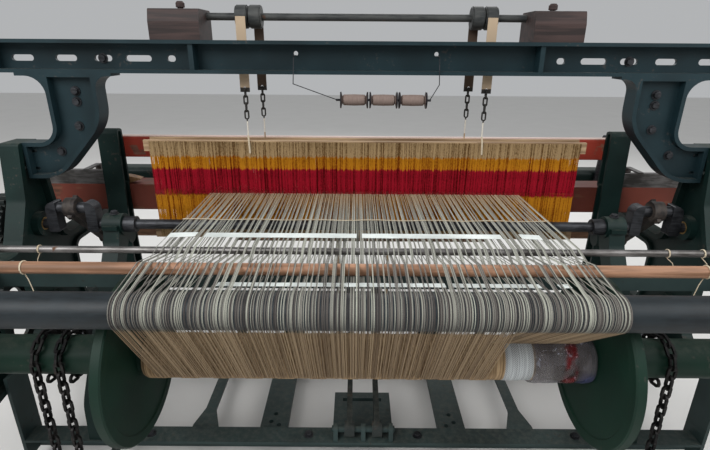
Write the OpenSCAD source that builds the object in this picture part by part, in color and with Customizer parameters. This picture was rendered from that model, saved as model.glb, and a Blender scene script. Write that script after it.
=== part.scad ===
// Power loom seen from the warp-beam side: cast side frames, top rail with heald roller gear,
// cranked shaft and swinging sley, two knitted healds, warp sheet, whip roll and warp beam.
// X runs across the loom, Y from the warp beam to the weaver, Z up. Origin on the floor, mid-loom.

/* [Frame] */
// Clear width between the two side frames
frame_gap = 2470; // [2300:10:2700]
// Width of a side frame's rim
frame_w = 70; // [50:2:90]
// Thickness of a side frame's web
web_t = 16; // [10:1:24]
// Width of the rim's edge band
rim_t = 22; // [14:1:30]
// Half of the loom's depth
half_depth = 701; // [690:1:740]
// Height of the frame's back shoulder under the whip roll
back_top = 800; // [780:5:810]
// Height of the frame under the swinging sley
sley_gap_top = 730; // [680:5:745]
// Height of the upstand that takes the arch foot
upstand_top = 1135; // [1120:5:1160]

/* [Top rail] */
// Underside height of the top rail
rail_z = 1376; // [1350:2:1400]
// Height of the top rail's section
rail_h = 108; // [90:2:130]
// Depth of the rail from back to front
rail_d = 70; // [50:2:75]
// Y of the rail's back edge
rail_y = 70; // [60:1:75]
// Metal thickness of rail and arch brackets
rail_t = 12; // [8:1:16]
// Half length of the rail
rail_half = 1290; // [1240:5:1305]
// X of the arch column's inner edge
arch_in = 934; // [900:2:960]
// Width of the arch column
arch_w = 176; // [140:2:200]

/* [Shafts] */
// Diameter of the crankshaft
crank_d = 38; // [30:1:45]
// Height of the crankshaft
crank_z = 816; // [800:2:830]
// Y of the crankshaft and tappet shaft
crank_y = 100; // [95:1:105]
// Throw of the cranks
crank_throw = 66; // [60:1:68]
// X of the middle of each crank
crank_x = 1115; // [1100:1:1125]
// Width of a crank over its webs
crank_w = 190; // [170:2:192]
// Reach of the crankshaft past each side frame
shaft_over = 195; // [190:1:235]
// Diameter of the tappet shaft
tappet_d = 44; // [36:1:50]
// Gear module, as a length
gear_m = 8; // [7.5:0.1:8.4]
// Teeth of the crankshaft gear
pinion_n = 28; // [28:1:28]
// Teeth of the tappet gear
wheel_n = 56; // [56:1:56]
// Running clearance on radius of every shaft
run_c = 0.05; // [0.02:0.01:0.1]

/* [Warp line] */
// Outer diameter of the whip roll
whip_d = 89; // [76:1:100]
// Y of the whip roll
whip_y = -647; // [-655:1:-635]
// Height of the whip roll
whip_z = 876; // [866:1:886]
// Y of the warp beam
beam_y = -447; // [-455:1:-440]
// Height of the warp beam
beam_z = 608; // [590:1:620]
// Outer diameter of the beam barrel
barrel_d = 114; // [100:1:125]
// Diameter of the yarn left on the beam
yarn_d = 132; // [128:1:160]
// Diameter of the beam flanges
flange_d = 508; // [460:2:508]
// X of a beam flange's inner face
flange_x = 655; // [640:1:680]
// Width of the warp sheet
warp_w = 1200; // [1000:20:1200]
// Spacing of the warp's bands of thread
warp_pitch = 20; // [16:1:24]
// Width of one band of thread
band_w = 8; // [4:0.5:9]
// Thickness of warp and cloth
sheet_t = 1.2; // [0.8:0.1:2]
// Height of the warp line at the healds
warp_z = 928; // [920:1:935]

/* [Healds and reed] */
// Width of a heald
heald_w = 1640; // [1500:20:1660]
// Top of the healds
heald_top = 1130; // [1110:2:1150]
// Depth of a heald from top to bottom
heald_h = 385; // [360:5:400]
// Thickness of a knitted heald
heald_t = 6; // [4:0.5:8]
// Width of one heald cord
cord_w = 2.5; // [1.5:0.1:4]
// Radius of the heald roller's pulleys
pulley_r = 36; // [30:1:38]
// Y of the heald roller
roller_y = 190; // [188:1:194]
// Height of the heald roller
roller_z = 1562; // [1550:1:1580]
// Y of the reed at mid swing
reed_y = 360; // [358:1:364]
// Thickness of one reed dent
dent_w = 1.6; // [1:0.1:2.5]
// Height of the sley pivot
rock_z = 110; // [100:1:120]
// Diameter of the rocking shaft
rock_d = 50; // [40:1:56]

/* [Hidden] */
$fn = 48;

in_x = frame_gap / 2;
mid_x = in_x + frame_w / 2;
out_x = in_x + frame_w;
shaft_half = out_x + shaft_over;
breast_low = 850;
breast_front = 690;
breast_back = 590;
rail_top = rail_z + rail_h;
rail_front = rail_y + rail_d;

cast_green = "#143c33";
rail_green = "#1c343a";

// Corner rounding: each corner is [x, y, radius]
function unit(v) = v / norm(v);
function flat(p) = [p[0], p[1]];
function corner(p, q, s, n) =
    let (u = unit(flat(p) - flat(q)), v = unit(flat(s) - flat(q)), ang = acos(u * v))
    let (d = q[2] / tan(ang / 2), c = flat(q) + unit(u + v) * q[2] / sin(ang / 2))
    let (a = flat(q) + u * d - c, b = flat(q) + v * d - c, a0 = atan2(a[1], a[0]))
    let (raw = atan2(b[1], b[0]) - a0, sweep = raw > 180 ? raw - 360 : raw < -180 ? raw + 360 : raw)
    q[2] < 0.5 ? [flat(q)] : [for (i = [0 : n]) c + q[2] * [cos(a0 + sweep * i / n), sin(a0 + sweep * i / n)]];
function outline(pts, n = 5) = let (k = len(pts))
    [for (i = [0 : k - 1]) each corner(pts[(i + k - 1) % k], pts[i], pts[(i + 1) % k], n)];
function side(p) = let (u = unit(p)) [-u[1], u[0]];
function inset(pts, d) = let (k = len(pts))
    [for (i = [0 : k - 1]) let (p = flat(pts[(i + k - 1) % k]), q = flat(pts[i]), s = flat(pts[(i + 1) % k]))
        let (a = side(q - p), b = side(s - q), turn = (q - p)[0] * (s - q)[1] - (q - p)[1] * (s - q)[0])
        let (m = q + d * (a + b) / (1 + a * b), r = turn > 0 ? pts[i][2] - d : pts[i][2] + d)
        [m[0], m[1], pts[i][2] < 0.5 ? 0 : max(r, 1)]];

// Draws a flat Y-Z outline as a plate across X, centred on x
module across(x, t) translate([x, 0, 0]) rotate([90, 0, 90]) linear_extrude(t, center = true) children();
// Draws a flat X-Z outline as a plate along Y, centred on y
module along(y, t) translate([0, y, 0]) rotate([90, 0, 0]) linear_extrude(t, center = true) children();
// A bar or bore of diameter d along X from x0 to x1
module bar(d, x0, x1, y, z) translate([x0, y, z]) rotate([0, 90, 0]) cylinder(d = d, h = x1 - x0);
module block(x0, x1, y0, y1, z0, z1) translate([x0, y0, z0]) cube([x1 - x0, y1 - y0, z1 - z0]);
module both() {
    children();
    mirror([1, 0, 0]) children();
}

// Side frame casting
foot_h = 24;
frame_pts = [
    [-half_depth + 10, 0, 0], [-560, 0, 0], [-545, 70, 30], [-505, 300, 110], [-300, 330, 60],
    [330, 330, 60], [470, 300, 110], [515, 70, 30], [530, 0, 0], [half_depth - 10, 0, 0],
    [half_depth - 20, 90, 30], [655, 400, 120], [half_depth, 700, 60], [half_depth, breast_low, 14],
    [breast_back - 4, breast_low, 14], [breast_back - 10, sley_gap_top, 30],
    [215, sley_gap_top, 50], [190, 930, 40],
    [160, upstand_top, 12], [50, upstand_top, 12], [20, 930, 60], [-60, 765, 60],
    [-570, 765, 40], [-590, back_top, 12], [-half_depth + 1, back_top, 12], [-half_depth + 1, 640, 60],
    [-640, 400, 120], [-half_depth + 20, 90, 30]];
window_back = [[-585, 415, 40], [-300, 400, 40], [-300, 530, 30], [-585, 530, 30]];
window_mid = [[-215, 400, 40], [-20, 400, 40], [-20, 700, 40], [-215, 700, 40]];
window_front = [[290, 400, 40], [560, 400, 40], [560, 660, 40], [290, 660, 40]];
windows = [window_back, window_mid, window_front];
boss_d = 96;

module side_frame() {
    difference() {
        union() {
            across(mid_x, web_t) polygon(outline(frame_pts));
            across(mid_x, frame_w) difference() {
                polygon(outline(frame_pts));
                polygon(outline(inset(frame_pts, rim_t)));
            }
            for (w = windows) across(mid_x, frame_w * 0.6) difference() {
                polygon(outline(inset(w, -rim_t * 0.7)));
                polygon(outline(w));
            }
            bar(boss_d, in_x, out_x, crank_y, crank_z);
            bar(boss_d, in_x, out_x, crank_y, tappet_z);
            bar(boss_d, in_x, out_x, beam_y, beam_z);
            bar(boss_d - 30, in_x, out_x, take_y, take_z);
            bar(boss_d - 42, in_x, out_x, cloth_y, cloth_z);
        }
        for (w = windows) across(mid_x, frame_w + 2) polygon(outline(w));
        bar(crank_d + bush_t * 2, in_x - 1, out_x + 1, crank_y, crank_z);
        bar(tappet_d + bush_t * 2, in_x - 1, out_x + 1, crank_y, tappet_z);
        bar(gudgeon_d + run_c * 2, in_x - 1, out_x + 1, beam_y, beam_z);
        bar(take_shaft_d + run_c * 2, in_x - 1, out_x + 1, take_y, take_z);
        bar(cloth_pin_d + run_c * 2, in_x - 1, out_x + 1, cloth_y, cloth_z);
        for (z = foot_bolt_z) bar(foot_bolt_d + 2, in_x - 1, out_x + 1, foot_bolt_y, z);
    }
    for (y = anchor_ys) difference() {
        block(in_x - 60, in_x, y - 40, y + 40, 0, foot_h);
        translate([in_x - 34, y, -1]) cylinder(d = anchor_d, h = foot_h + 2);
    }
}
module side_frame_left() color(cast_green) mirror([1, 0, 0]) side_frame();
module side_frame_right() color(cast_green) side_frame();

// Bushes, gudgeons and shaft places shared by the castings
bush_t = 6;
tappet_z = crank_z - gear_m * (pinion_n + wheel_n) / 2;
gudgeon_d = 40;
take_y = 645;
take_z = 775;
take_shaft_d = 30;
foot_bolt_y = 105;
foot_bolt_z = [1035, 1100];
foot_bolt_d = 14;
anchor_d = 18;
anchor_ys = [-620, 615];
cloth_y = 610;
cloth_z = 600;
cloth_pin_d = 24;

module shaft_bushes() color("darkgoldenrod") both() {
    for (s = [[crank_d, crank_z], [tappet_d, tappet_z]]) difference() {
        bar(s[0] + bush_t * 2, in_x, out_x, crank_y, s[1]);
        bar(s[0] + run_c * 2, in_x - 1, out_x + 1, crank_y, s[1]);
    }
}

// Top rail: a channel open to the back, slotted towards its ends
slot_h = 21;
slot_z = rail_z + 47;
slots = [[680, 30], [795, 92], [918, 62], [1048, 76], [1200, 78]];
rib_x = 595;
hole_x = 245;
module top_rail() color(rail_green) difference() {
    union() {
        block(-rail_half, rail_half, rail_front - rail_t, rail_front, rail_z, rail_top);
        block(-rail_half, rail_half, rail_y, rail_front, rail_top - rail_t, rail_top);
        block(-rail_half, rail_half, rail_y, rail_front, rail_z, rail_z + rail_t);
        both() block(rib_x - 8, rib_x + 8, rail_y + 6, rail_front - 1, rail_z + 1, rail_top - 1);
        both() block(rail_half - 12, rail_half, rail_y + 6, rail_front - 1, rail_z + 1, rail_top - 1);
    }
    both() for (s = slots) along(rail_front, rail_t * 3) translate([s[0], slot_z]) slot_shape(s[1], slot_h);
    both() along(rail_front, rail_t * 3) translate([hole_x, slot_z + 20]) circle(d = hole_d);
    both() for (x = [620, 670]) translate([x, block_y, rail_top - rail_t * 2]) cylinder(d = 12, h = rail_t * 3);
}
module slot_shape(w, h) union() {
    square([w - h, h], center = true);
    for (k = [-1, 1]) translate([k * (w - h) / 2, 0]) circle(d = h);
}

// Arch bracket: column under the rail whose foot sweeps outward to the side frame
foot_low = 1004;
arch_out = arch_in + arch_w;
arch_pts = [
    [in_x, foot_low, 0], [in_x, upstand_top, 0], [arch_out, upstand_top, 62], [arch_out, rail_z - 10, 62],
    [arch_out + 95, rail_z - 10, 0], [arch_out + 95, rail_z, 0], [arch_in - 60, rail_z, 0],
    [arch_in - 60, rail_z - 10, 0], [arch_in, rail_z - 10, 44], [arch_in, 1205, 150], [1120, foot_low, 150]];
arch_rim = 14;
arch_core = [[in_x, foot_low, 0], [in_x, upstand_top, 0], [arch_out, upstand_top, 62], [arch_out, rail_z, 0],
    [arch_in, rail_z, 0], [arch_in, 1205, 150], [1120, foot_low, 150]];
arch_holes = [[1020, 1314], [1022, 1278], [1030, 1192], [1112, 1100]];
module arch_bracket() difference() {
    union() {
        along(rail_front - rail_d / 2, rail_t) polygon(outline(arch_pts, 8));
        along(rail_front - rail_d / 2, rail_d) difference() {
            polygon(outline(arch_pts, 8));
            polygon(outline(inset(arch_core, arch_rim), 8));
        }
    }
    for (h = arch_holes)
        translate([h[0], rail_y - 1, h[1]]) rotate([-90, 0, 0]) cylinder(d = 15, h = rail_d + 2);
    for (z = foot_bolt_z) bar(foot_bolt_d + 2, in_x - 30, in_x + 1, foot_bolt_y, z);
}
module arch_bracket_right() color(rail_green) arch_bracket();
module arch_bracket_left() color(rail_green) mirror([1, 0, 0]) arch_bracket();

// Cross members
breast_top = 918;
breast_t = 12;
module breast_beam() color(cast_green) union() {
    difference() {
        across(0, frame_gap) polygon(outline([[breast_back, breast_low, 4], [breast_front, breast_low, 4],
            [breast_front, breast_top, nose_r], [breast_back, breast_top, nose_r]]));
        across(0, frame_gap - 40) polygon(outline([[breast_back + breast_t, breast_low - breast_t, 0],
            [breast_front - breast_t, breast_low - breast_t, 0],
            [breast_front - breast_t, breast_top - breast_t, 14],
            [breast_back + breast_t, breast_top - breast_t, 14]]));
    }
    block(handle_x - 25, handle_x + 25, breast_back, breast_back + breast_t - 1,
        handle_z - 25, breast_low + 10);
    translate([handle_x, breast_back - 20, handle_z]) rotate([-90, 0, 0]) cylinder(d = handle_pin_d, h = 21);
}
nose_r = 24;
handle_x = 1120;
handle_z = breast_low - 25;
handle_y = breast_back - 9;
handle_pin_d = 16;

cross_top = 125;
hanger_top = 392;
lever_x = 900;
lever_z = 86;
lever_pin_d = 16;
cross_y = -258;
pivot_y = cross_y - 4;
pivot_z = 158;
lug_w = 16;
treadle_x = 50;
rail_holes = [200, 780];
module back_cross_rail() color("#5a6e64") difference() {
    union() {
        block(-in_x, in_x, cross_y - 37, cross_y + 37, cross_top - 10, cross_top);
        block(-in_x, in_x, cross_y + 27, cross_y + 37, cross_top - 85, cross_top - 9);
        both() block(in_x - 12, in_x, cross_y - 37, cross_y + 60, cross_top - 85, hanger_top);
        both() for (k = [-1, 1])
            block(lever_x + k * 16 - 6, lever_x + k * 16 + 6, cross_y - 16, cross_y + 16, lever_z - 16, cross_top - 9);
        both() bar(lever_pin_d, lever_x - 26, lever_x + 26, cross_y, lever_z);
        for (x = [-1, 0, 1]) translate([x * treadle_x * 2, 0, 0])
            across(0, lug_w) polygon(outline([
                [pivot_y - 28, cross_top - 1, 0], [pivot_y + 28, cross_top - 1, 0],
                [pivot_y + 18, pivot_z + 18, 16], [pivot_y - 18, pivot_z + 18, 16]]));
        bar(pin_d, -treadle_x * 2 - 14, treadle_x * 2 + 14, pivot_y, pivot_z);
    }
    both() for (x = rail_holes) translate([x, cross_y, cross_top - 11]) cylinder(d = 14, h = 12);
}
pin_d = 24;
module front_cross_rail() color(cast_green) union() {
    block(-in_x, in_x, front_rail_y, front_rail_y + 12, 40, 250);
    block(-in_x, in_x, front_rail_y, front_rail_y + 60, 238, 250);
    both() block(in_x - 12, in_x, front_rail_y - 50, front_rail_y + 110, 110, 260);
}
front_rail_y = 560;
tie_y = -200;
tie_top = 752;
module back_tie_bar() color("#7a8578") union() {
    block(-in_x, in_x, tie_y, tie_y + 40, tie_top - 10, tie_top);
    block(-in_x, in_x, tie_y, tie_y + 10, tie_top - 52, tie_top);
    both() block(in_x - 12, in_x, tie_y, tie_y + 80, tie_top - 60, tie_top + 8);
}

// Floor-level castings between the back and front cross rails
bar_x = 345;
floor_y0 = cross_y + 37;
bars_top = 80;
module floor_bars() color("#5a6e64") {
    both() difference() {
        block(bar_x - 53, bar_x + 53, floor_y0, front_rail_y, bars_top - 22, bars_top);
        for (p = [[-18, 60], [14, 78], [2, 120]])
            translate([bar_x + p[0], floor_y0 + p[1], bars_top - 30]) cylinder(d = 18, h = 40);
    }
    both() union() {
        translate([615, 0, bars_top - 12]) linear_extrude(12) polygon(outline([
            [-20, front_rail_y, 0], [-20, floor_y0 + 150, 60], [-52, floor_y0 + 60, 30], [-52, floor_y0, 0],
            [46, floor_y0, 0], [46, floor_y0 + 60, 30], [22, floor_y0 + 150, 60], [22, front_rail_y, 0]]));
        block(609, 621, floor_y0, front_rail_y, bars_top - 36, bars_top - 11);
    }
    difference() {
        block(-115, 115, floor_y0, floor_y0 + 250, bars_top - 18, bars_top);
        block(-80, 80, floor_y0 + 196, floor_y0 + 214, bars_top - 20, bars_top + 1);
    }
}

// Inner crankshaft bearings on posts from the back cross rail
post_x = 962;
module crank_bearing() difference() {
    union() {
        across(post_x, 60) polygon(outline([[cross_y - 30, cross_top, 0], [cross_y + 37, cross_top, 0],
            [cross_y + 70, cross_top + 150, 90], [crank_y + 20, crank_z - 70, 60], [crank_y + 42, crank_z, 0],
            [crank_y - 42, crank_z, 0], [crank_y - 60, crank_z - 60, 60],
            [cross_y - 20, cross_top + 150, 120]], 6));
        bar(84, post_x - 36, post_x + 36, crank_y, crank_z);
        block(post_x - 28, post_x + 28, crank_y - 56, crank_y + 56, crank_z - 8, crank_z + 8);
    }
    bar(crank_d + run_c * 2, post_x - 40, post_x + 40, crank_y, crank_z);
}
module crank_bearings() color("#2c4a40") both() crank_bearing();

// Pedestals that carry the rocking shaft of the sley
ped_x = 1175;
module rocker_pedestals() color(cast_green) both() difference() {
    across(ped_x, 60) polygon(outline([[reed_y - 80, 0, 0], [reed_y + 80, 0, 0], [reed_y + 78, 24, 4],
        [reed_y + 42, 40, 20], [reed_y + 42, rock_z + 42, 40], [reed_y - 42, rock_z + 42, 40],
        [reed_y - 42, 40, 20], [reed_y - 78, 24, 4]], 6));
    bar(rock_d + run_c * 2, ped_x - 31, ped_x + 31, reed_y, rock_z);
}

// Whip roll brackets on the back shoulders
module whip_bracket() difference() {
    union() {
        across(mid_x, 56) polygon(outline([[whip_y - 46, back_top, 0], [whip_y + 48, back_top, 0],
            [whip_y + 48, back_top + 16, 6], [whip_y + 40, whip_z, 20], [whip_y + 34, whip_z + 30, 24],
            [whip_y - 34, whip_z + 30, 24], [whip_y - 40, whip_z, 20], [whip_y - 46, back_top + 16, 6]], 5));
    }
    bar(whip_pin_d + run_c * 2, mid_x - 40, mid_x + 40, whip_y, whip_z);
}
whip_pin_d = 36;
module whip_brackets() color(cast_green) both() whip_bracket();
module whip_roll() color("#4b5058") union() {
    bar(whip_d, -in_x + 14, in_x - 14, whip_y, whip_z);
    bar(whip_pin_d, -mid_x - 34, mid_x + 34, whip_y, whip_z);
}

// Wooden bearing blocks of the heald roller, standing on the rail
block_y = rail_front - 26;
block_in = 560;
block_out = 730;
roller_d = 25;
module roller_block() difference() {
    across((block_in + block_out) / 2, block_out - block_in) polygon(outline([
        [rail_y + 14, rail_top, 0], [rail_front + 96, rail_top, 3], [rail_front + 96, roller_z + 12, 6],
        [rail_front + 84, roller_z + 20, 6], [rail_y + 26, roller_z + 20, 8],
        [rail_y + 14, roller_z - 20, 8]], 3));
    bar(roller_d + run_c * 2, block_in - 1, block_out + 1, roller_y, roller_z);
    for (x = [620, 670]) translate([x, block_y, rail_top - 1]) cylinder(d = 12, h = 40);
}
module roller_blocks() color("#5c463d") both() union() {
    roller_block();
    translate([645, roller_y - 14, roller_z + 19.5])
        rotate_extrude() polygon([[0, 0], [9, 0], [9, 6], [15, 9], [15, 22], [10, 28], [0, 28]]);
}

// Heald roller: one shaft with two pulleys a side, its straps wound over them
strap_t = 3;
strap_gap = 0.3;
back_pulley_x = 435;
front_pulley_x = 388;
pulley_w = 42;
module heald_roller() color("#5d6450") union() {
    bar(roller_d, -block_out - 18, block_out + 18, roller_y, roller_z);
    both() for (x = [front_pulley_x, back_pulley_x])
        translate([x - pulley_w / 2, roller_y, roller_z]) rotate([0, 90, 0]) rotate_extrude() polygon([
            [0, 0], [pulley_r, 0], [pulley_r, 4], [pulley_r + strap_t, 4], [pulley_r + strap_t, pulley_w - 4],
            [pulley_r, pulley_w - 4], [pulley_r, pulley_w], [0, pulley_w]]);
}

// Healds: knitted cords between a top and a bottom band
heald_back_y = roller_y - pulley_r - strap_t - strap_gap - strap_t / 2;
heald_front_y = roller_y + pulley_r + strap_t + strap_gap + strap_t / 2;
heald_low = heald_top - heald_h;
heald_n = floor(heald_w / warp_pitch);
band_h = 36;
module heald(y) along(y, heald_t) difference() {
        translate([-heald_w / 2, heald_low]) square([heald_w, heald_h]);
        for (i = [0 : heald_n - 1]) translate([(i - heald_n / 2) * warp_pitch + cord_w / 2, heald_low + band_h])
            square([warp_pitch - cord_w, heald_h - band_h * 2]);
}
strap_low = rail_z - 66;
chain_n = 4;
chain_p = 26;
link_first = strap_low - 2;
hook_top = link_first - (chain_n - 1) * chain_p - 15;
stave_z = [heald_top - band_h / 2, heald_low + band_h / 2];
stave_h = 42;
module heald_back() color("#c89a20") heald(heald_back_y);
module heald_front() color("#c8a060") heald(heald_front_y);

// Staves, straps, chains and the lower cords that work one heald; away is the side its staves lie on
module heald_rig(y, x, away, low_x) {
    for (z = stave_z) difference() {
        translate([0, y + away * (heald_t + stave_t) / 2, z])
            cube([heald_w + 28, stave_t, stave_h], center = true);
        both() along(y, 60) translate([heald_w / 2 - 30, z]) circle(d = 12);
    }
    both() {
        difference() {
            block(x - 17, x + 17, y - strap_t / 2, y + strap_t / 2, strap_low, roller_z);
            along(y, 20) translate([x, strap_low + 14]) circle(d = 9);
        }
        for (k = [0 : chain_n - 1])
            chain_link([x, y, link_first - k * chain_p], (k + 1) % 2 * 90, chain_p, 5, 9, 0.5);
        translate([x, y, heald_top]) cylinder(d = 5, h = hook_top - heald_top, $fn = 24);
    }
    translate([low_x, y, link_low]) cylinder(d = 9, h = heald_low - link_low, $fn = 24);
}
stave_t = 12;
link_low = 300;
link_x = 104;
module heald_back_rig() color("#a58c64") heald_rig(heald_back_y, back_pulley_x, 1, -link_x);
module heald_front_rig() color("#8c6e50") heald_rig(heald_front_y, front_pulley_x, -1, link_x);

// A chain link whose length runs along Z, turned by roll about it, with play between links
module chain_link(at, roll, pitch, wire, half, play) translate(at) rotate([0, 0, roll]) rotate([90, 0, 0])
    linear_extrude(wire, center = true) {
        hole = half - wire;
        straight = pitch + play - hole * 2;
        difference() {
            slot_bar(straight, half);
            slot_bar(straight, hole);
        }
    }
module slot_bar(straight, r) union() {
    square([r * 2, straight], center = true);
    for (k = [-1, 1]) translate([0, k * straight / 2]) circle(r = r, $fn = 24);
}

// Warp line: from the beam over the near side of the whip roll to the healds, reed and fell
sheet_gap = 0.3;
beam_c = [beam_y, beam_z];
whip_c = [whip_y, whip_z];
near_r = [yarn_d / 2 + sheet_gap, whip_d / 2 + sheet_gap];
near_v = whip_c - beam_c;
near_a = atan2(near_v[1], near_v[0]) + acos((near_r[0] - near_r[1]) / norm(near_v));
heald_c = [heald_back_y, warp_z];
function leave_a(p) = let (v = p - whip_c) atan2(v[1], v[0]) + acos(near_r[1] / norm(v));
line_p = polar(whip_c, near_r[1], leave_a(heald_c));
function warp_at(y) = line_p[1] + (warp_z - line_p[1]) * (y - line_p[0]) / (heald_c[0] - line_p[0]);
steel_rod_d = 20;
steel_rod_y = -395;
wood_rod_d = 32;
wood_rod_y = -512;
// The point where a band passes a lease rod, above it for k = 1 and below it for k = -1
function rod_pass(y, d, k) = [y, warp_at(y) + k * (d / 2 + sheet_gap) * 1.04 - (1 - k) / 2 * sheet_t];
fell_y = 464;
breast_y = 600;
function polar(c, r, a) = c + r * [cos(a), sin(a)];
function warp_side(t, k) =
    let (w = rod_pass(wood_rod_y, wood_rod_d, k), s = rod_pass(steel_rod_y, steel_rod_d, -k), off_a = leave_a(w))
    concat(
        [polar(beam_c, near_r[0] + t, near_a)],
        [for (i = [0 : 12]) polar(whip_c, near_r[1] + t, near_a + (off_a - near_a) * i / 12)],
        [w + [0, t], s + [0, t], [heald_c[0], warp_z + t], [fell_y, warp_z + t]]);
function turned(pts) = [for (i = [len(pts) - 1 : -1 : 0]) pts[i]];
band_n = floor(warp_w / warp_pitch);
module warp_sheet() color("#afa58c") for (i = [0 : band_n - 1])
    across((i - (band_n - 1) / 2) * warp_pitch, band_w)
        polygon(concat(warp_side(0, i % 2 * 2 - 1), turned(warp_side(sheet_t, i % 2 * 2 - 1))));

// Cloth: from the fell over the breast beam and the take-up roller to the cloth roller
take_d = 92;
cloth_d = 110;
take_c = [take_y, take_z];
cloth_c = [cloth_y, cloth_z];
down_r = [take_d / 2 + sheet_gap, cloth_d / 2 + sheet_gap];
down_v = cloth_c - take_c;
down_a = atan2(down_v[1], down_v[0]) + acos((down_r[0] - down_r[1]) / norm(down_v));
nose_c = [breast_front - nose_r, breast_top - nose_r];
function cloth_side(t) = concat(
    [[fell_y, warp_z + t], [breast_y, breast_top + sheet_gap + t]],
    [for (i = [0 : 9]) polar(nose_c, nose_r + sheet_gap + t, 90 - 10 * i)],
    [[breast_front + sheet_gap + t, breast_low - 5]],
    [for (i = [0 : 3]) polar(take_c, down_r[0] + t, down_a * i / 3)],
    [for (i = [0 : 24]) polar(cloth_c, down_r[1] + t, down_a - 120 * i / 24)]);
module cloth() color("#a8906a")
    across(0, warp_w) polygon(concat(cloth_side(0), turned(cloth_side(sheet_t))));
module take_up_roller() color("#6c6f73") union() {
    bar(take_d, -in_x + 20, in_x - 20, take_y, take_z);
    bar(take_shaft_d, -out_x - 40, out_x + 40, take_y, take_z);
}
module cloth_roller() color("#8a6a48") union() {
    bar(cloth_d, -warp_w / 2 - 20, warp_w / 2 + 20, cloth_y, cloth_z);
    bar(70, -in_x + 30, in_x - 30, cloth_y, cloth_z);
    bar(cloth_pin_d, -out_x + 6, out_x - 6, cloth_y, cloth_z);
}

// Lease rods between the two sets of warp bands, and a lath on top
module steel_lease_rod() color("#8c8282")
    bar(steel_rod_d, -in_x - 60, in_x + 60, steel_rod_y, warp_at(steel_rod_y));
module wooden_lease_rod() color("#aa826e")
    bar(wood_rod_d, -in_x - 55, in_x + 55, wood_rod_y, warp_at(wood_rod_y));
lath_y = -310;
lath_z = warp_at(lath_y) + steel_rod_d / 2 + sheet_t;
module warp_lath() color("#c8c8c0") for (x = [[-485, -30], [-14, 405]])
    block(x[0], x[1], lath_y, lath_y + 24, lath_z, lath_z + 2);

// Warp beam
module beam_barrel() color("#1e4a38") union() {
    bar(barrel_d, -in_x + 35, in_x - 35, beam_y, beam_z);
    bar(gudgeon_d, -out_x + 4, out_x - 4, beam_y, beam_z);
}
flange_t = 12;
module beam_flanges() color("#0f3723") both() translate([flange_x, beam_y, beam_z]) rotate([0, 90, 0])
    rotate_extrude($fn = 96) polygon([
        [barrel_d / 2 + 0.2, 0], [barrel_d / 2 + 34, 0], [flange_d / 2 - 34, 4], [flange_d / 2 - 30, 0],
        [flange_d / 2 - 4, 0], [flange_d / 2, 4], [flange_d / 2, 26], [flange_d / 2 - 6, 30],
        [flange_d / 2 - 26, 30], [flange_d / 2 - 32, flange_t + 6], [barrel_d / 2 + 44, flange_t + 4],
        [barrel_d / 2 + 24, 56], [barrel_d / 2 + 0.2, 56]]);
yarn_l = 2 * flange_x - 30;
yarn_edge = (barrel_d + yarn_d) / 4;
ridge_n = 27;
ridge = 1.2;
module yarn_roll() color("#a0825f") translate([-yarn_l / 2, beam_y, beam_z]) rotate([0, 90, 0])
    rotate_extrude($fn = 64) polygon(concat(
        [[barrel_d / 2 + 0.2, 0], [yarn_edge, 0]],
        [for (i = [0 : ridge_n - 1]) each [for (k = [i, i + 1])
            [yarn_d / 2 - i % 2 * ridge, 10 + (yarn_l - 20) * k / ridge_n]]],
        [[yarn_edge, yarn_l], [barrel_d / 2 + 0.2, yarn_l]]));

// Let-off chains round the barrel, each ending in a long link on its weight lever's pin
wire_d = 7;
link_half = 14;
link_play = 2;
wrap_n = 14;
wrap_a = barrel_d / 2 + link_half + 0.5;
link_p = 2 * wrap_a * tan(180 / wrap_n);
tail_n = 13;
tail_y = beam_y - wrap_a;
tail_z = beam_z - (tail_n - 0.5) * link_p;
end_p = tail_z - lever_z + link_half - wire_d - link_play / 2;
chain_xs = [-935, -868, 862];
module let_off_chains() color("#1a1a1c") for (x = chain_xs) {
    for (i = [3 : wrap_n]) translate([x, beam_y, beam_z]) rotate([360 / wrap_n * i, 0, 0])
        chain_link([0, -wrap_a, 0], i % 2 * 90, link_p, wire_d, link_half, link_play);
    for (k = [1 : tail_n - 1])
        chain_link([x, tail_y, beam_z - k * link_p], k % 2 * 90, link_p, wire_d, link_half, link_play);
    chain_link([x, tail_y, tail_z - end_p / 2], 90, end_p, wire_d, link_half, link_play);
}

// Weight lever: flat bar under the back cross rail, loaded with iron weights
lever_tip = -640;
weight_t = 40;
module weight_lever() difference() {
    union() {
        across(lever_x, 14) polygon(outline([[cross_y + 15, lever_z - 15, 14], [cross_y + 15, lever_z + 15, 14],
            [lever_tip - 30, lever_z + 15, 14], [lever_tip - 30, lever_z - 15, 14]], 4));
        bar(2 * (link_half - wire_d) - 2, lever_x - 50, lever_x + 50, tail_y, lever_z);
        for (k = [0, 1]) block(lever_x - 60, lever_x + 60, lever_tip - 10 + k * (weight_t + 4),
            lever_tip - 10 + weight_t + k * (weight_t + 4), 20, 126);
    }
    bar(lever_pin_d + run_c * 2, lever_x - 10, lever_x + 10, cross_y, lever_z);
}
module weight_lever_left() color("#26302c") mirror([1, 0, 0]) weight_lever();
module weight_lever_right() color("#26302c") weight_lever();

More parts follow.
